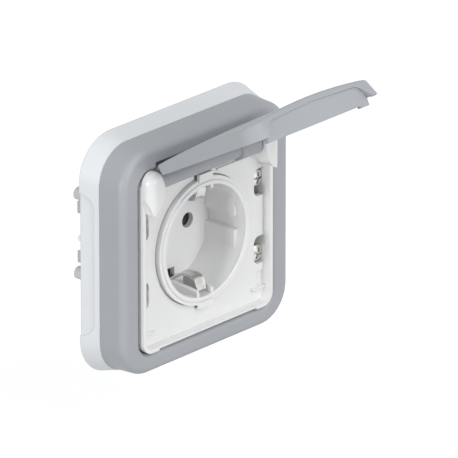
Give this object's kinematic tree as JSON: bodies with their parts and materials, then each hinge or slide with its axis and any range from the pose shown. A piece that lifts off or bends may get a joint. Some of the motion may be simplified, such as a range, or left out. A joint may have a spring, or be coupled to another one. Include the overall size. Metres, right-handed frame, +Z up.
{
  "type": "weatherproof socket outlet",
  "caption": "Wall-fixed weatherproof socket: pale back frame, grey bezel, white insert with two pin holes, key blocks and sprung earth clips, and a grey hinged lid held open.",
  "frame": {"origin": "centre of the back frame's wall face, on the socket's axis", "axes": "the wall is the plane y = 0, -Y points forward out of the wall, +Z up, +X to the right seen from the front"},
  "size_m": [0.0872, 0.089, 0.1056],
  "materials": {
    "pale_plastic": "fine satin",
    "grey_plastic": "fine satin",
    "white_plastic": "semi-gloss",
    "dark_plastic": "moulded",
    "seal_rubber": "soft matt",
    "steel": "zinc-plated",
    "brass": "bright"
  },
  "bodies": {
    "housing": {"back_frame": "pale_plastic", "wall_seal": "seal_rubber", "support_ring": "steel", "front_bezel": "grey_plastic", "bezel_seal": "seal_rubber", "mechanism_plate": "white_plastic", "socket_insert": "white_plastic", "earth_clips": "steel", "plate_screws": "steel", "rear_housing": "dark_plastic", "rear_cover": "dark_plastic", "live_contact": "brass", "neutral_contact": "brass", "live_terminal": "brass", "neutral_terminal": "brass", "earth_terminal": "brass", "terminal_screws": "steel", "left_claw": "steel", "right_claw": "steel", "claw_screws": "steel", "hinge_pin": "steel"},
    "lid": {"lid": "grey_plastic", "lid_seal": "seal_rubber"}
  },
  "joints": [
    {"name": "lid_hinge", "type": "hinge", "parent": "housing", "child": "lid", "pos_m": [0, -0.0168, 0.028], "axis": [1, 0, 0], "range_deg": [0, 118.6]}
  ]
}
